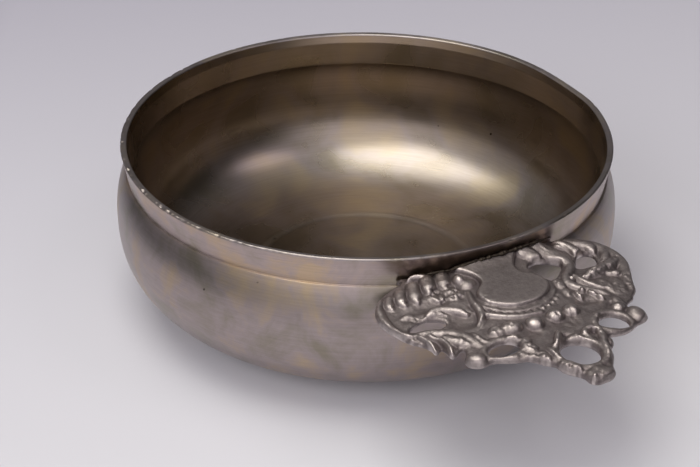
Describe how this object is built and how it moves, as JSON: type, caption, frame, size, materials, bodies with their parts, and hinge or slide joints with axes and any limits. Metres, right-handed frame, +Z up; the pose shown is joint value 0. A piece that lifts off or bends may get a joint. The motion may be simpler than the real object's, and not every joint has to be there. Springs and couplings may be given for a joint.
{
  "type": "porringer",
  "caption": "Round pewter bowl with an upright collar, bellied wall and flat foot, and one flat openwork cast handle soldered to the collar.",
  "frame": {"origin": "centre of the flat foot, on the surface that the bowl stands on", "axes": "+Z up along the bowl's axis, +X along the handle, away from the bowl"},
  "size_m": [0.1868, 0.1368, 0.047],
  "materials": {
    "pewter_turned": "turned and worn, dull satin with fine lathe lines",
    "pewter_cast": "as cast, rubbed bright on the high points",
    "solder": "rough bead, darkened"
  },
  "bodies": {
    "root": {"bowl": "pewter_turned", "handle": "pewter_cast", "solder_top": "solder", "solder_under_left": "solder", "solder_under_right": "solder"}
  },
  "joints": []
}
